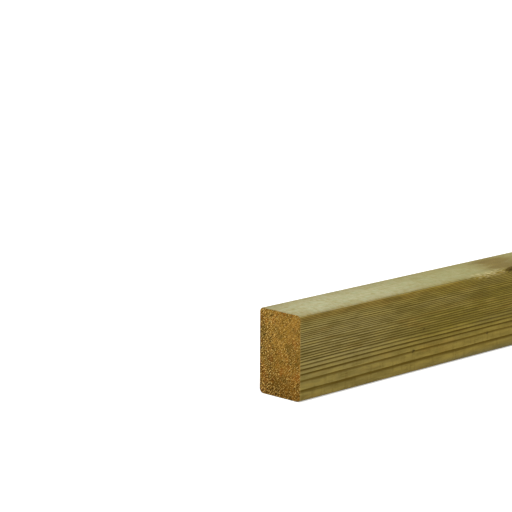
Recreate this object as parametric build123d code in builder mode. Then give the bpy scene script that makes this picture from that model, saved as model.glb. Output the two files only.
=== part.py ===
"""A planed timber stud, cut square to a sold length, with its four long edges eased.

Frame: +X along the length, +Y across the thickness, +Z up the depth of the section.
The origin is at the middle of the narrow face that the stud stands on.
"""

import os

from build123d import *

# Driving dimensions, in millimetres.
stud_length = 2400.0      # as sold
stud_thickness = 45.0     # planed, across the two wide faces
stud_depth = 70.0         # planed, across the two narrow faces
arris_radius = 4.0        # round planed on each of the four long edges
end_ease = 0.5            # edge broken by handling, round each sawn end

# The planed section is drawn on the sawn end, standing on its narrow face.
near_end = Plane.YZ.offset(-stud_length / 2)

with BuildPart() as stud:
    with BuildSketch(near_end) as planed_section:
        with Locations((0, stud_depth / 2)):
            RectangleRounded(stud_thickness, stud_depth, arris_radius)
    extrude(amount=stud_length)

    # The saw leaves square ends, whose edges are soon knocked off.
    sawn_ends = stud.faces().filter_by(Axis.X)
    chamfer(sawn_ends.edges(), end_ease)

stud.part.label = "stud"

os.makedirs("parts", exist_ok=True)
export_step(stud.part, "parts/stud.step")
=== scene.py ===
"""A planed softwood stud: its growth rings, knots, eased edges and sawn ends, set on a pale floor.

The tree comes first. One set of formulas gives the growth rings and knots at any place in the wood.
Numpy runs them for the raised grain of the mesh, and shader nodes run the same formulas for its
colours, so that ridge and stripe meet everywhere, round every edge and on to both sawn ends.
Lengths in those formulas are in millimetres. Along the stud they are counted from its near end.
"""

import math
from collections import namedtuple

import bpy
import numpy as np
from mathutils import Euler, Matrix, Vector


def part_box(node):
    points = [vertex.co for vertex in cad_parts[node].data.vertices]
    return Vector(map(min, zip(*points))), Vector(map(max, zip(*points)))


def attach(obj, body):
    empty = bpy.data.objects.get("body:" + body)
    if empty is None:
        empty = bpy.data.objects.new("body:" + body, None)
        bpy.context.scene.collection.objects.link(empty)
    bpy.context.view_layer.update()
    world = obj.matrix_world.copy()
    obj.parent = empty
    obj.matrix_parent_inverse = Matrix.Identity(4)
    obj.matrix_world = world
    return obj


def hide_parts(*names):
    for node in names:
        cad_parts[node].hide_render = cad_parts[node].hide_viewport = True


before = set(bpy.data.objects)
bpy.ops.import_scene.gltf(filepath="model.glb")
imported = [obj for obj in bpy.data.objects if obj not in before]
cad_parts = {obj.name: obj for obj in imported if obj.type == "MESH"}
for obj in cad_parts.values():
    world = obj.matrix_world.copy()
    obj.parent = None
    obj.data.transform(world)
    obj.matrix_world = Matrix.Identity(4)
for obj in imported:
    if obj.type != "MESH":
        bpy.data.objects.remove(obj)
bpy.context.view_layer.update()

MM = 0.001

# The planed stock, taken from the frame
stud_low, stud_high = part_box("stud")
stud_length, stud_thickness, stud_depth = [side / MM for side in stud_high - stud_low]
near_end_x = stud_low.x / MM
half_thickness = stud_thickness / 2
half_depth = stud_depth / 2
arris_radius = 4.0
end_ease = 0.5

# The tree: where its pith runs beside the stud, the first dark line's distance from the pith, and
# the law of ring widths. Far out a ring is outer_width wide, and near the pith it is wider.
pith_y = -56.0
pith_z = -20.0
first_line = 36.0
outer_width = 1.3
inner_extra = 3.6          # what a ring is wider by at inner_place
inner_place = 45.0
width_fall = 12.0          # the distance over which that extra falls to a third
rings = 52
year_waves = ((0.14, 9.0), (0.10, 3.7))    # good and bad years: a share of the width, and its repeat
tone_seed = 7.0            # any number: it picks the rings whose spring wood is a little darker
knot_swelling = 1.5        # how far a knot pushes the rings outwards, for each mm of radius past 1 mm

# Grain that wanders along the stud: its lean, which grows outwards, and waves on that, each as high
# as a share of its own repeat. All of them turn a little for each millimetre outwards.
mid_growth = 70.0
lean_repeat = 1900.0
lean_height = 0.75
lean_taper = 0.07
wave_repeats = (300.0, 180.0, 90.0)
wave_share = 0.0005
wave_turn = 0.1
wave_start = 3.0

# A knot: where its heart meets the surface, its radius there, its rake along the stud, and for a
# shoot that soon died its half length. A half length of None means a branch, which began at the pith.
# The first four are those in view. The branches stand in whorls, at spacings usual for pine.
Knot = namedtuple("Knot", "x y z radius rake half_length")
knots = (
    Knot(269.0, -20.6, 70.0, 2.4, 8.0, 19.0),
    Knot(133.4, -22.5, 18.4, 0.9, 2.6, 2.8),
    Knot(228.7, -22.5, 18.0, 0.7, 2.6, 2.2),
    Knot(146.3, -22.5, 34.9, 0.6, 2.6, 2.2),
    Knot(512.0, -3.0, 70.0, 9.0, 0.4, None),
    Knot(845.0, -22.5, 38.0, 7.0, 0.35, None),
    Knot(868.0, 22.5, 46.0, 8.5, 0.35, None),
    Knot(1290.0, -22.5, 22.0, 5.0, 0.35, None),
    Knot(1316.0, 9.0, 70.0, 9.5, 0.4, None),
    Knot(1725.0, -22.5, 52.0, 9.0, 0.35, None),
    Knot(1752.0, 22.5, 24.0, 6.0, 0.35, None),
    Knot(2110.0, -8.0, 70.0, 6.5, 0.35, None),
    Knot(2138.0, -22.5, 12.0, 4.0, 0.3, None),
)


class Wire:
    """A number that varies over the wood: an output socket, on which arithmetic adds Math nodes."""

    def __init__(self, finish, socket):
        self.finish = finish
        self.socket = socket

    def __add__(self, other):
        return self.finish.maths("ADD", self, other)

    def __radd__(self, other):
        return self.finish.maths("ADD", other, self)

    def __sub__(self, other):
        return self.finish.maths("SUBTRACT", self, other)

    def __rsub__(self, other):
        return self.finish.maths("SUBTRACT", other, self)

    def __mul__(self, other):
        return self.finish.maths("MULTIPLY", self, other)

    def __rmul__(self, other):
        return self.finish.maths("MULTIPLY", other, self)

    def __truediv__(self, other):
        return self.finish.maths("DIVIDE", self, other)

    def __rtruediv__(self, other):
        return self.finish.maths("DIVIDE", other, self)

    def __pow__(self, other):
        return self.finish.maths("POWER", self, other)

    def __neg__(self):
        return self.finish.maths("MULTIPLY", self, -1.0)


fuzz_colour = (1.0, 0.82, 0.4, 1.0)


class Finish:
    """A material under construction: its node tree, and the few calls that add nodes to it."""

    def __init__(self, name):
        self.material = bpy.data.materials.new(name)
        self.material.use_nodes = True
        self.tree = self.material.node_tree
        self.tree.nodes.clear()

    def node(self, kind, settings=None, **inputs):
        """Adds a node, sets its settings, then fills its sockets with values or links."""
        made = self.tree.nodes.new(kind)
        for name, value in (settings or {}).items():
            setattr(made, name, value)
        for name, value in inputs.items():
            self.fill(made.inputs[name.replace("_", " ")], value)
        return made

    def fill(self, socket, value):
        source = value.socket if isinstance(value, Wire) else value
        if isinstance(source, bpy.types.NodeSocket):
            self.tree.links.new(source, socket)
        else:
            socket.default_value = source

    def maths(self, operation, *values):
        made = self.node("ShaderNodeMath", {"operation": operation})
        for socket, value in zip(made.inputs, values):
            self.fill(socket, value)
        return Wire(self, made.outputs["Value"])

    def mix(self, share, under, over):
        """A colour: share of over laid on under."""
        made = self.node("ShaderNodeMix", {"data_type": "RGBA"})
        self.fill(made.inputs["Factor"], share)
        self.fill(made.inputs[6], under)
        self.fill(made.inputs[7], over)
        return made.outputs[2]

    def lay(self, colour, *layers):
        """Lays colours on a first one, in turn. A layer is where it lies, how strongly, and its colour."""
        for where, strength, laid in layers:
            colour = self.mix(where * strength, colour, laid)
        return colour

    def place(self):
        """The place in the wood, in millimetres: a vector, and its x, y and z as wires."""
        coordinates = self.node("ShaderNodeTexCoord").outputs["Object"]
        scaled = self.node("ShaderNodeVectorMath", {"operation": "MULTIPLY"})
        self.fill(scaled.inputs[0], coordinates)
        self.fill(scaled.inputs[1], (1 / MM, 1 / MM, 1 / MM))
        parts = self.node("ShaderNodeSeparateXYZ", Vector=scaled.outputs["Vector"])
        x, y, z = [Wire(self, parts.outputs[axis]) for axis in "XYZ"]
        return scaled.outputs["Vector"], x - near_end_x, y, z

    def vector(self, x, y, z):
        return self.node("ShaderNodeCombineXYZ", X=x, Y=y, Z=z).outputs["Vector"]

    def noise(self, place, repeats, detail=2.0, roughness=0.5):
        """Soft random numbers about 0.5, one blot in each of the repeats, in millimetres along x, y, z."""
        stretched = self.node("ShaderNodeVectorMath", {"operation": "MULTIPLY"})
        self.fill(stretched.inputs[0], place)
        self.fill(stretched.inputs[1], [1 / repeat for repeat in repeats])
        blots = self.node(
            "ShaderNodeTexNoise",
            Vector=stretched.outputs["Vector"],
            Scale=1.0,
            Detail=detail,
            Roughness=roughness,
        )
        return Wire(self, blots.outputs["Fac"])

    def graph(self, value, places, heights):
        """The height at a value, by a curve node with straight lines between its points."""
        width, rise_in_all = places[-1] - places[0], heights[-1] - heights[0]
        curve = self.node("ShaderNodeFloatCurve", Value=(value - places[0]) / width)
        points = curve.mapping.curves[0].points
        for place, height in zip(places[1:-1], heights[1:-1]):
            points.new((place - places[0]) / width, (height - heights[0]) / rise_in_all)
        for point in points:
            point.handle_type = "VECTOR"
        curve.mapping.update()
        return heights[0] + rise_in_all * Wire(self, curve.outputs["Value"])

    def chance(self, number):
        """A random number from 0 to 1 that stays the same for the same number."""
        dice = self.node("ShaderNodeTexWhiteNoise", {"noise_dimensions": "1D"}, W=number)
        return Wire(self, dice.outputs["Value"])

    def surface(self, colour, roughness, height, fuzz, fuzz_spread, shine):
        """Ends the tree in a Principled shader: the height in millimetres as a bump, and a straw fuzz."""
        bump = self.node("ShaderNodeBump", Strength=1.0, Distance=MM, Height=height)
        shader = self.node(
            "ShaderNodeBsdfPrincipled",
            Base_Color=colour,
            Roughness=roughness,
            Normal=bump.outputs["Normal"],
            Sheen_Weight=fuzz,
            Sheen_Tint=fuzz_colour,
            Sheen_Roughness=fuzz_spread,
            Specular_IOR_Level=shine,
        )
        self.node("ShaderNodeOutputMaterial", Surface=shader.outputs["BSDF"])
        return self.material


def each(operation, formula, *values):
    """Runs a formula on arrays with numpy, or on wires with the Math node of that operation."""
    wires = [value for value in values if isinstance(value, Wire)]
    return wires[0].finish.maths(operation, *values) if wires else formula(*values)


def sine(angle):
    return each("SINE", np.sin, angle)


def root(value):
    return each("SQRT", np.sqrt, value)


def whole(value):
    return each("FLOOR", np.floor, value)


def falling(value):
    """e to the power of minus value."""
    return each("EXPONENT", np.exp, -1.0 * value)


def least(one, other):
    return each("MINIMUM", np.minimum, one, other)


def most(one, other):
    return each("MAXIMUM", np.maximum, one, other)


def rise(value, start, end):
    """0 up to start, 1 from end on, and an S-shaped rise between them."""
    share = least(most((value - start) / (end - start), 0.0), 1.0)
    return share * share * (3.0 - 2.0 * share)


def usual_width(r):
    """How wide a ring is at a distance from the pith: it falls off outwards as an exponential."""
    return outer_width + inner_extra * falling((r - inner_place) / width_fall)


def dark_lines():
    """The distance of each dark line from the pith: ring after ring, each of its usual width there,
    widened or narrowed by good and bad years, which are sine waves of the ring's number."""
    places = [first_line]
    for ring in range(rings):
        year = 1.0 + sum(share * math.sin(ring * math.tau / repeat) for share, repeat in year_waves)
        places.append(places[-1] + float(usual_width(places[-1])) * year)
    return np.array(places)


line_places = dark_lines()
line_ages = np.arange(len(line_places)) - 1.0


def read_off(value, places, heights):
    """The height at a value, on straight lines drawn from each place and its height to the next."""
    if not isinstance(value, Wire):
        return np.interp(value, places, heights)
    return value.finish.graph(value, places, heights)


def beside_knot(knot, x, y, z):
    """How many of the knot's own radii a place is from the knot's heart.

    The heart is a straight line through the knot's place. Seen from the end of the stud it comes
    from the pith. A branch is a cone round it, and a dead shoot is a spindle, pointed at both ends.
    """
    reach = math.hypot(knot.y - pith_y, knot.z - pith_z)
    heart = np.array((knot.rake, (knot.y - pith_y) / reach, (knot.z - pith_z) / reach))
    heart = heart / np.linalg.norm(heart)
    dx, dy, dz = x - knot.x, y - knot.y, z - knot.z
    along = dx * heart[0] + dy * heart[1] + dz * heart[2]
    across = root(most(dx * dx + dy * dy + dz * dz - along * along, 0.0))
    if knot.half_length:
        share = 1.0 - (along / knot.half_length) ** 2.0
    else:
        share = 1.0 + along / reach
    return across / most(share * knot.radius, 0.1)


def wood(x, y, z):
    """The age of the wood in rings, the usual width of a ring there, and the distance from the
    nearest knot in that knot's radii.

    The age is read off the dark lines by the distance r from the pith, r being first moved outwards
    or inwards by the lean of the tree, by waves along the grain, and by a bell-shaped swelling round
    each knot. The usual width falls off as an exponential of that distance.
    """
    r = root((y - pith_y) ** 2 + (z - pith_z) ** 2)
    outwards = r - mid_growth
    lean = sine(x * (math.tau / lean_repeat))
    moved = r + lean * (lean_height + lean_taper * outwards)
    for repeat in wave_repeats:
        angle = x * (math.tau / repeat) + outwards * wave_turn + wave_start
        moved = moved + wave_share * repeat * sine(angle)
    nearest = None
    for knot in knots:
        radii = beside_knot(knot, x, y, z)
        swelling = knot_swelling * max(knot.radius - 1.0, 0.0)
        moved = moved - swelling * falling(radii * radii * 0.3)
        nearest = radii if nearest is None else least(nearest, radii)
    age = read_off(moved, line_places, line_ages)
    return age, usual_width(moved), nearest


line_share = 0.9           # how much of a ring has gone by in the middle of its dark line
line_end = 0.95            # and where that line stops


def ring_of(age):
    """The number of the ring that a place belongs to."""
    return whole(age + line_share)


def latewood(age, ring_width):
    """0 in the pale spring wood of each ring, up to 1 in the dark line that ends it.

    It is a slow rise through the whole ring, and on that an S-shaped one. The latter takes the last
    1.3 mm of a wide ring, and the last six tenths of a narrow one. Whole ages are the dark lines.
    """
    share = age + line_share - ring_of(age)
    begin = most(line_end - 1.3 / ring_width, 0.36)
    darker = 0.15 * share + 0.85 * rise(share, begin, 0.35 * begin + 0.65 * line_end)
    return darker * (1.0 - rise(share, line_end, 1.0))


def paint(red, green, blue):
    """A colour as a screen shows it, 0 to 255, as the linear numbers that a shader takes."""
    screen = np.array((red, green, blue)) / 255
    linear = np.where(screen > 0.04045, ((screen + 0.055) / 1.055) ** 2.4, screen / 12.92)
    return (*[float(part) for part in linear], 1.0)


def spring_wood(finish, place, z, ring, from_end, weathered):
    """The pale wood between the dark lines: olive, greyer where weathered, and brown in patches."""
    low = 1.0 - rise(z, 12.0, 34.0)
    fresh = finish.mix(low, paint(129, 114, 43), paint(150, 131, 62))
    worn = finish.mix(low, paint(154, 139, 84), paint(140, 125, 68))
    crown_colour = finish.mix(weathered, paint(152, 131, 52), paint(154, 138, 70))
    crown = rise(z, 52.0, 66.0)
    dim_ring = finish.chance(ring + tone_seed)
    rusty = rise(finish.noise(place, (34.0, 7.0, 7.0), detail=2.0), 0.54, 0.68)
    under_arris = rise(z, 62.5, 66.0) * (1.0 - rise(from_end, 90.0, 200.0))
    mottle = finish.noise(place, (22.0, 6.0, 4.0), detail=3.0)
    chatter = finish.noise(place, (2.2, 9.0, 7.0), detail=1.0)
    return finish.lay(
        finish.mix(weathered, fresh, worn),
        (dim_ring, 0.42, paint(116, 99, 42)),
        (crown, 0.6, crown_colour),
        (rusty, 0.32, paint(140, 108, 44)),
        (under_arris, 0.45, paint(134, 98, 30)),
        (rise(mottle, 0.48, 0.66), 0.5, paint(112, 98, 42)),
        (1.0 - rise(mottle, 0.34, 0.5), 0.35, paint(164, 144, 70)),
        (rise(chatter, 0.54, 0.7) * low, 0.35, paint(108, 90, 36)),
    )


def worn_by_knots(finish, place, x, y):
    """1 where planing has bared the upper face round its knots, in ragged ovals, and 0 elsewhere.

    The oval of the first knot reaches across the whole face.
    """
    ragged = 2.4 * (finish.noise(place, (30.0, 9.0, 9.0), detail=3.0) - 0.5)
    worn = 0.0
    for knot in knots:
        if knot.z > stud_depth - arris_radius:
            along_reach = 28.0 + 1.2 * knot.radius
            across_reach = 70.0 if knot is knots[0] else 19.0
            spread = ((x - knot.x) / along_reach) ** 2.0 + ((y - knot.y) / across_reach) ** 2.0
            oval = falling(most(spread + ragged - 0.15, 0.0)) * rise(spread, 5.0, 0.5)
            worn = most(worn, oval)
    return worn


def painted_sage_sheen(finish, place, from_end):
    """Painted sheen and top light: pale sage laid over the treated wood's tint, in two tones and greener
    patches, whiter towards the ends as a painted pool of light.
    """
    tufts_and_glints = finish.noise(place, (2.0, 4.5, 4.5), detail=3.0, roughness=0.65)
    combed = finish.noise(place, (20.0, 0.9, 0.9), detail=2.0)
    clumps = 0.62 * tufts_and_glints + 0.38 * combed
    # Painted light: the sheen is whiter towards both ends
    painted_light_near_ends = 1.0 - rise(from_end, 30.0, 230.0)
    dull = finish.mix(painted_light_near_ends, paint(142, 137, 86), paint(154, 148, 101))
    pale = finish.mix(painted_light_near_ends, paint(162, 158, 116), paint(183, 181, 147))
    greener = finish.mix(painted_light_near_ends, paint(146, 154, 108), paint(170, 182, 148))
    patches = rise(finish.noise(place, (7.0, 5.0, 5.0), detail=2.0), 0.46, 0.62)
    return finish.lay(finish.mix(rise(clumps, 0.38, 0.62), dull, pale), (patches, 0.35, greener))


def knot_colours(finish, place, knot_radii, colour):
    """Lays the knots on a colour: brown wood round them, ringed hearts with cracks, and dark bark."""
    wavy = knot_radii + 0.24 * (finish.noise(place, (6.0, 3.0, 3.0), detail=3.0) - 0.5)
    in_knot = 1.0 - rise(wavy, 0.8, 1.08)
    round_knot = 1.0 - rise(knot_radii, 1.0, 4.6)
    bark = 1.0 - rise(most(wavy - 1.0, 1.0 - wavy), 0.02, 0.2)
    knot_rings = 0.5 + 0.5 * sine(wavy * 31.0)
    cracks = rise(finish.noise(place, (7.0, 0.9, 1.8), detail=1.0), 0.56, 0.66)
    heart = finish.lay(
        paint(62, 47, 10),
        (knot_rings, 0.7, paint(98, 79, 26)),
        (cracks, 0.8, paint(36, 26, 6)),
    )
    return finish.lay(
        colour,
        (round_knot, 0.55, paint(104, 90, 38)),
        (in_knot, 0.9, heart),
        (bark, 0.7, paint(44, 30, 0)),
    )


def planed_finish():
    """Planed faces, olive from the treatment: dark lines, brown knots, a painted sage sheen and top light on
    the upper narrow face, and greyer bottom edges from painted floor reflection and shade.
    """
    finish = Finish("planed_treated_softwood")
    place, x, y, z = finish.place()
    age, ring_width, knot_radii = wood(x, y, z)
    frayed = age + 0.12 * (finish.noise(place, (45.0, 1.6, 1.6)) - 0.5)
    ring = ring_of(frayed)
    from_end = least(x, stud_length - x)
    patches = finish.noise(place, (160.0, 18.0, 18.0))
    weathered = most(1.0 - rise(from_end, 50.0, 180.0), rise(patches, 0.5, 0.7) * 0.8)

    year_strength = 0.8 + 0.18 * finish.chance(ring)
    faded = (1.0 - weathered) * rise(z, 26.0, 31.0) * (1.0 - rise(z, 48.0, 56.0))
    late = latewood(frayed, ring_width) * year_strength * (1.0 - 0.14 * faded)
    late_colour = finish.mix(rise(ring_width, 1.8, 3.6), paint(58, 43, 0), paint(82, 63, 0))
    streaks = finish.noise(place, (34.0, 0.5, 0.5), detail=3.0)
    flecks = finish.noise(place, (9.0, 0.35, 0.35), detail=1.0)
    # Painted floor reflection and shade: greyer and a little darker along the bottom edge, from 110 mm past
    # the near end on
    painted_floor_reflection_and_shade = (1.0 - rise(z, 1.5, 7.0)) * rise(x, 110.0, 210.0)
    colour = finish.lay(
        finish.mix(late, spring_wood(finish, place, z, ring, from_end, weathered), late_colour),
        (rise(streaks, 0.54, 0.72), 0.25, paint(168, 150, 80)),
        (rise(flecks, 0.6, 0.72), 0.35, paint(64, 48, 8)),
        (painted_floor_reflection_and_shade, 0.6, paint(108, 102, 66)),
    )

    away = most(z - half_depth, half_depth - z)
    narrow = rise(away, half_depth - 2.2, half_depth - 0.1)
    upper = rise(z, half_depth, half_depth + 10.0)
    by_top_knot = worn_by_knots(finish, place, x, y)
    # Less of the painted sheen towards both long edges of the top; along the +y edge this is painted shade
    edges_with_less_sheen = 0.2 * rise(-y, half_thickness - 13.0, half_thickness) + 0.3 * rise(y, -2.0, 20.0)
    # Where less sheen is laid: near the ends, round the top knots where the wood is bared, and at the
    # painted-shade edges
    bare_and_shaded = most(0.14 * (1.0 - rise(from_end, 6.0, 30.0)) + edges_with_less_sheen, by_top_knot)
    colour = finish.lay(colour, (narrow * by_top_knot, 0.55, paint(112, 98, 58)))
    # Painted sheen and top light: pale sage laid on the upper narrow face
    colour = finish.mix(narrow * upper * (0.88 - bare_and_shaded), colour, painted_sage_sheen(finish, place, from_end))

    chips = rise(finish.noise(place, (5.0, 0.9, 0.9), detail=1.0), 0.42, 0.62)
    at_arris = rise(z, 65.0, 68.5) * rise(-y, half_thickness - 7.0, half_thickness - 2.0)
    by_knot = falling(((x - knots[0].x + 38.0) / 22.0) ** 2.0) * (1.0 - 0.6 * late)
    colour = finish.lay(colour, (chips * at_arris * by_knot, 0.7, paint(208, 194, 144)))
    colour = knot_colours(finish, place, knot_radii, colour)
    torn = 1.0 - rise(from_end, 0.3, 1.1)
    colour = finish.lay(colour, (torn, 0.25, paint(160, 128, 70)))

    cutter_marks = 0.008 * sine(x * (math.tau / 4.1))
    height = 0.06 * streaks + 0.05 * late + cutter_marks
    return finish.surface(colour, 0.6, height, fuzz=0.2, fuzz_spread=0.3, shine=0.03)


# Dark stains on the sawn end: where each one is, how far it reaches, and how strong it is
Stain = namedtuple("Stain", "y z reach_y reach_z strength")
stains = (
    Stain(20.0, 45.0, 5.0, 16.0, 0.75),
    Stain(11.0, 29.0, 5.0, 8.0, 0.6),
    Stain(4.0, 11.0, 7.0, 7.0, 0.4),
    Stain(-15.0, 39.0, 7.0, 10.0, 0.45),
    Stain(18.0, 2.0, 9.0, 6.0, 0.4),
)

# The saw: where its blade's axis was, and the repeats of its coarse and fine strokes
blade_y = 150.0
blade_z = 200.0
coarse_stroke = 3.8
fine_stroke = 1.9


def saw_strokes(y, z):
    """Strokes of the saw, between -1.6 and 1.6: arcs about the blade's axis, one fine and one coarse."""
    from_axis = root((y - blade_y) ** 2 + (z - blade_z) ** 2)
    coarse = sine(from_axis * (math.tau / coarse_stroke))
    return coarse + 0.6 * sine(from_axis * (math.tau / fine_stroke) + 1.0)


def sawn_finish():
    """Sawn end grain: torn fibres in brown and orange with painted glints on the pale tufts, over the same
    rings and the saw's strokes, and painted shade towards the floor.
    """
    finish = Finish("sawn_end_grain")
    place, x, y, z = finish.place()
    age, ring_width, _ = wood(x, y, z)
    late = latewood(age, ring_width)
    across = y * (1.0 - 2.0 * rise(x, 0.4 * stud_length, 0.6 * stud_length))
    diagonal = 0.7071
    stroke = finish.vector(x, (z + y) * diagonal, (z - y) * diagonal)
    fibres = finish.noise(stroke, (2.0, 0.85, 2.5), detail=1.0, roughness=0.6)
    # Pale torn fibre tufts, their brightness partly painted glints
    tufts_and_glints = finish.noise(stroke, (3.0, 0.85, 1.5), detail=1.0, roughness=0.6)
    blots = finish.noise(place, (16.0, 9.0, 13.0))
    mottle = finish.noise(place, (20.0, 7.0, 9.0), detail=3.0)
    rust = finish.noise(place, (18.0, 8.0, 11.0))
    rough = 0.4 * rise(across, -4.0, 16.0) + 0.1 * (1.0 - rise(z, 8.0, 36.0))
    rough = rough + 0.3 * rise(finish.noise(place, (14.0, 8.0, 11.0)), 0.42, 0.6)

    colour = finish.mix(rise(blots, 0.38, 0.62), paint(167, 126, 48), paint(181, 135, 56))
    # Painted shade: the sawn end darkened towards the floor
    colour = finish.mix(1.0 - rise(z, -8.0, 52.0), colour, paint(118, 77, 13))
    colour = finish.lay(colour, (late, 0.4, paint(96, 66, 14)))
    for stain in stains:
        spread = ((across - stain.y) / stain.reach_y) ** 2.0 + ((z - stain.z) / stain.reach_z) ** 2.0
        colour = finish.lay(colour, (falling(spread), stain.strength, paint(84, 66, 16)))
    scored = rise(saw_strokes(y, z), -0.2, 1.2) * rise(z, 20.0, 50.0)
    colour = finish.lay(
        colour,
        (scored, 0.3, paint(84, 60, 12)),
        (rise(mottle, 0.5, 0.62), 0.42, paint(80, 64, 14)),
        (rise(rust, 0.54, 0.66), 0.42, paint(150, 88, 24)),
        (1.0 - rise(fibres, 0.34, 0.5), 0.5 + rough, paint(50, 34, 2)),
        (rise(tufts_and_glints, 0.54, 0.68), 0.44 + rough, paint(236, 196, 112)),
    )
    height = 0.5 * fibres + 0.4 * tufts_and_glints - 0.1 * late
    return finish.surface(colour, 0.85, height, fuzz=0.2, fuzz_spread=0.3, shine=0.03)


# The mesh: cells across each narrow face, up each wide face, and stations along the stud
cells_across = 66
cells_up = 106
stations = 236
strip_share = 0.76         # how much of the map's height the long faces take
end_row = 0.78             # where the ends begin on it
map_margin = 0.01
skin_depth = 0.02          # how far the highest ridge lies under the stock's size
ridge_height = 0.14        # in wide rings
knot_dish = 0.10
saw_depth = 0.16           # the same for the sawn ends, up to the middle of their strokes
saw_swing = 0.05
in_view = 260.0            # how much of the stud's length the photograph shows


def raised_grain(x, y, z):
    """How far the planed face lies below the stock's size, in millimetres: least on dark wood."""
    age, ring_width, knot_radii = wood(x, y, z)
    ridge = ridge_height * rise(ring_width, 1.3, 3.5)
    dished = knot_dish * (1.0 - rise(knot_radii, 1.0, 2.5)) * rise(knot_radii, 0.9, 1.1)
    return skin_depth + ridge * (1.0 - latewood(age, ring_width)) + dished


def saw_marks(y, z):
    """How far the sawn end lies below the stock's length, in millimetres: the strokes, and torn wood."""
    torn = np.sin(y * 2.9 + 1.3 * np.sin(z * 1.7)) * np.sin(z * 2.3 + 1.1 * np.sin(y * 2.1))
    return saw_depth + saw_swing * (saw_strokes(y, z) + torn)


def outline_lengths():
    """Distances round the section, from the middle of one rounded corner, evenly spaced on each face."""
    across = stud_thickness - 2 * arris_radius + arris_radius * math.pi / 2
    up = stud_depth - 2 * arris_radius + arris_radius * math.pi / 2
    shares = [np.arange(cells_across) / cells_across, np.arange(cells_up) / cells_up]
    starts = (0.0, across, across + up, 2 * across + up)
    lengths = [shares[n % 2] * (across, up)[n % 2] + start for n, start in enumerate(starts)]
    return np.concatenate(lengths), 2 * (across + up)


def outline(lengths, inset):
    """Places and outward directions on the section's outline, at distances round it.

    The outline is what a circle of the arris radius sweeps as its centre goes round a smaller
    rectangle. The centre moves along the flats and waits at the corners, where the direction turns.
    """
    half = half_thickness - arris_radius
    low, high = arris_radius, stud_depth - arris_radius
    turn = arris_radius * math.pi / 2
    steps = [0.0, turn / 2, 2 * half, turn, high - low, turn, 2 * half, turn, high - low, turn / 2]
    at = np.cumsum(steps)
    centre_y = np.interp(lengths, at, half * np.array([-1, -1, 1, 1, 1, 1, -1, -1, -1, -1]))
    centre_z = np.interp(lengths, at, [low, low, low, low, high, high, high, high, low, low])
    quarter = np.array([2.5, 3, 3, 4, 4, 5, 5, 6, 6, 6.5])
    angle = np.interp(lengths, at, quarter * math.pi / 2)
    y = centre_y + (arris_radius - inset) * np.cos(angle)
    z = centre_z + (arris_radius - inset) * np.sin(angle)
    return y, z, np.cos(angle), np.sin(angle)


def station_places():
    """Distances along the stud, closer together near the end in view and at each knot."""
    fine = np.linspace(end_ease, stud_length - end_ease, 4801)
    need = 1.0 + 4.0 * np.exp(-((fine / in_view) ** 4))
    for knot in knots:
        need = need + 3.0 * np.exp(-(((fine - knot.x) / (10.0 + 3.0 * knot.radius)) ** 2))
    share = np.concatenate(([0.0], np.cumsum((need[1:] + need[:-1]) / 2)))
    return np.interp(np.linspace(0.0, share[-1], stations), share, fine)


def filled_outline(y, z):
    """A grid over the section: each place is blended from the four sides of the outline.

    It is the sum of the blend between bottom and top and the blend between left and right, less the
    blend of the four corners, which both of those hold.
    """
    ring = np.stack((y, z), axis=-1)
    ring = np.concatenate((ring, ring[:1]))
    right_from, top_from, left_from = cells_across, cells_across + cells_up, 2 * cells_across + cells_up
    bottom = ring[: right_from + 1][:, None]
    right = ring[right_from : top_from + 1][None]
    top = ring[top_from : left_from + 1][::-1][:, None]
    left = ring[left_from:][::-1][None]
    u = np.linspace(0.0, 1.0, cells_across + 1)[:, None, None]
    v = np.linspace(0.0, 1.0, cells_up + 1)[None, :, None]
    corners = (1 - u) * ((1 - v) * bottom[:1] + v * top[:1]) + u * ((1 - v) * bottom[-1:] + v * top[-1:])
    return (1 - v) * bottom + v * top + (1 - u) * left + u * right - corners


def rim_of(grid):
    """The numbers of a grid's outer places, in the order of the outline."""
    return np.concatenate((grid[:-1, 0], grid[-1, :-1], grid[:0:-1, -1], grid[0, :0:-1]))


def quads(grid):
    """The four corners of every cell of a grid of numbers, or of places on a map."""
    return np.stack((grid[:-1, :-1], grid[:-1, 1:], grid[1:, 1:], grid[1:, :-1]), axis=2).reshape(
        -1, 4, *grid.shape[2:]
    )


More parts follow.
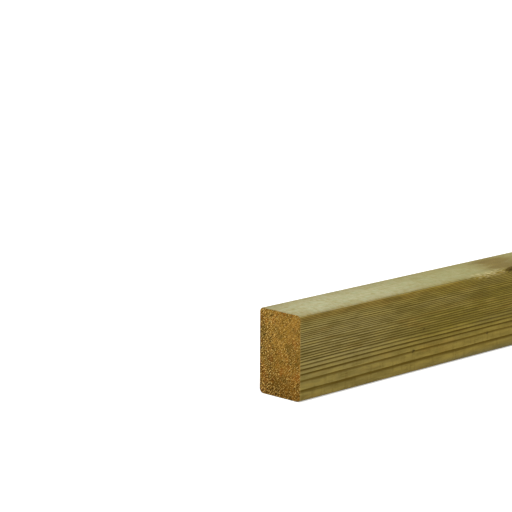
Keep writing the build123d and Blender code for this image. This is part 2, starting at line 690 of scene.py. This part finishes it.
def planed_stud():
    """The stud as one closed skin: a belt of stations round the section, and a grid over each end."""
    lengths, perimeter = outline_lengths()
    x = station_places()[:, None]
    y, z, out_y, out_z = outline(lengths, 0.0)
    depth = raised_grain(x + 0 * y, y + 0 * x, z + 0 * x)
    side = np.stack((x + 0 * y, y - depth * out_y, z - depth * out_z), axis=-1)

    end_y, end_z = filled_outline(*outline(lengths, end_ease)[:2]).transpose(2, 0, 1)
    near = np.stack((saw_marks(end_y, end_z), end_y, end_z), axis=-1)
    far = np.stack((stud_length - saw_marks(-end_y, end_z), end_y, end_z), axis=-1)

    sizes = [side[..., 0].size, end_y.size, end_y.size]
    starts = np.cumsum([0] + sizes)
    side_ids = np.arange(starts[1]).reshape(side.shape[:2])
    near_ids = np.arange(starts[1], starts[2]).reshape(end_y.shape)
    far_ids = np.arange(starts[2], starts[3]).reshape(end_y.shape)
    belt = np.vstack((rim_of(near_ids), side_ids, rim_of(far_ids)))
    belt = np.hstack((belt, belt[:, :1]))
    faces = np.concatenate((quads(belt), quads(near_ids), quads(far_ids.T)))

    places = np.concatenate([part.reshape(-1, 3) for part in (side, near, far)])
    places[:, 0] += near_end_x
    mesh = bpy.data.meshes.new("planed_stud")
    mesh.from_pydata(places * MM, [], faces)

    belt_cells = (belt.shape[0] - 1) * (belt.shape[1] - 1)
    slots = np.zeros(len(faces), dtype=np.int32)
    slots[belt_cells:] = 1
    mesh.polygons.foreach_set("material_index", slots)
    mesh.polygons.foreach_set("use_smooth", np.ones(len(faces), dtype=bool))
    mesh.set_sharp_from_angle(angle=math.radians(35))
    stud = bpy.data.objects.new("planed_stud", mesh)
    bpy.context.scene.collection.objects.link(stud)
    mesh.materials.append(planed_finish())
    mesh.materials.append(sawn_finish())

    # The UV map: the four long faces unrolled as one strip, the ends above it
    along = np.concatenate(([0.0], x[:, 0], [stud_length])) / stud_length
    around = np.append(lengths, perimeter) / perimeter
    strip = np.stack(np.broadcast_arrays(along[:, None], around * strip_share), axis=-1)
    scale = (1.0 - map_margin - end_row) / stud_thickness
    near_map = np.stack((map_margin + end_z * scale, end_row + (end_y + half_thickness) * scale), axis=-1)
    far_map = near_map + (2 * map_margin + stud_depth * scale, 0.0)
    corners = np.concatenate((quads(strip), quads(near_map), quads(far_map.transpose(1, 0, 2))))
    layer = mesh.uv_layers.new(name="OFBake")
    layer.uv.foreach_set("vector", corners.astype(np.float32).ravel())
    return stud


# The camera, at the photograph's angle
lens_length = 162.42       # on a sensor 36 mm wide
camera_place = (-2.45826, -1.22959, 0.47898)
camera_heading = 44.955    # degrees from the stud's length, towards its far side
camera_dip = 11.721
camera_roll = 0.214


def place_camera():
    data = bpy.data.cameras.new("camera")
    data.lens = lens_length
    data.sensor_width = 36.0
    data.clip_end = 100.0
    camera = bpy.data.objects.new("camera", data)
    bpy.context.scene.collection.objects.link(camera)
    aim = Euler((math.radians(90 - camera_dip), 0.0, math.radians(camera_heading - 90)))
    turned = aim.to_matrix() @ Matrix.Rotation(math.radians(camera_roll), 3, "Z")
    camera.location = camera_place
    camera.rotation_euler = turned.to_euler()
    bpy.context.scene.camera = camera


# Light and floor
room_light = 0.4           # what falls on the stud from all round
room_seen = 1.0            # and what the camera sees of it
lamp_strength = 2.8
lamp_width = 70.0          # degrees across: a broad lamp, with soft shadows
lamp_tilt = 12.0           # degrees, towards the camera's side and towards the near end
floor_shade = 0.86
floor_glow = 0.45


def pale_floor():
    """A wide pale floor. The camera sees it lightened to white, apart from the stud's shadow."""
    reach = 40.0
    corners = [(-reach, -reach, 0.0), (reach, -reach, 0.0), (reach, reach, 0.0), (-reach, reach, 0.0)]
    mesh = bpy.data.meshes.new("floor")
    mesh.from_pydata(corners, [], [(0, 1, 2, 3)])
    floor = bpy.data.objects.new("floor", mesh)
    bpy.context.scene.collection.objects.link(floor)
    finish = Finish("pale_floor")
    seen = finish.node("ShaderNodeLightPath")
    straight = most(Wire(finish, seen.outputs["Is Camera Ray"]), Wire(finish, seen.outputs["Is Glossy Ray"]))
    straight = most(straight, Wire(finish, seen.outputs["Is Transmission Ray"]))
    lightened = finish.mix(straight, paint(0, 0, 0), (floor_glow, floor_glow, floor_glow, 1.0))
    shader = finish.node(
        "ShaderNodeBsdfPrincipled",
        Base_Color=(floor_shade, floor_shade, floor_shade, 1.0),
        Roughness=0.9,
        Specular_IOR_Level=0.0,
        Emission_Color=lightened,
        Emission_Strength=1.0,
    )
    finish.node("ShaderNodeOutputMaterial", Surface=shader.outputs["BSDF"])
    mesh.materials.append(finish.material)


def studio_light():
    """A white room that lights from all round, and one broad soft lamp above."""
    world = bpy.data.worlds.new("studio")
    bpy.context.scene.world = world
    world.use_nodes = True
    tree = world.node_tree
    tree.nodes.clear()
    seen = tree.nodes.new("ShaderNodeLightPath")
    straight = seen.outputs["Is Camera Ray"]
    for kind in ("Is Glossy Ray", "Is Transmission Ray"):
        either = tree.nodes.new("ShaderNodeMath")
        either.operation = "MAXIMUM"
        tree.links.new(straight, either.inputs[0])
        tree.links.new(seen.outputs[kind], either.inputs[1])
        straight = either.outputs["Value"]
    strength = tree.nodes.new("ShaderNodeMapRange")
    strength.inputs["To Min"].default_value = room_light
    strength.inputs["To Max"].default_value = room_seen
    tree.links.new(straight, strength.inputs["Value"])
    background = tree.nodes.new("ShaderNodeBackground")
    background.inputs["Color"].default_value = (1.0, 1.0, 1.0, 1.0)
    tree.links.new(strength.outputs["Result"], background.inputs["Strength"])
    output = tree.nodes.new("ShaderNodeOutputWorld")
    tree.links.new(background.outputs["Background"], output.inputs["Surface"])

    lamp = bpy.data.lights.new("soft_lamp", "SUN")
    lamp.energy = lamp_strength
    lamp.angle = math.radians(lamp_width)
    sun = bpy.data.objects.new("soft_lamp", lamp)
    bpy.context.scene.collection.objects.link(sun)
    sun.rotation_euler = (math.radians(lamp_tilt), math.radians(-lamp_tilt), 0.0)


bpy.context.scene.view_settings.view_transform = "Standard"
place_camera()
studio_light()
pale_floor()

stud = planed_stud()
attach(stud, "root")
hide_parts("stud")
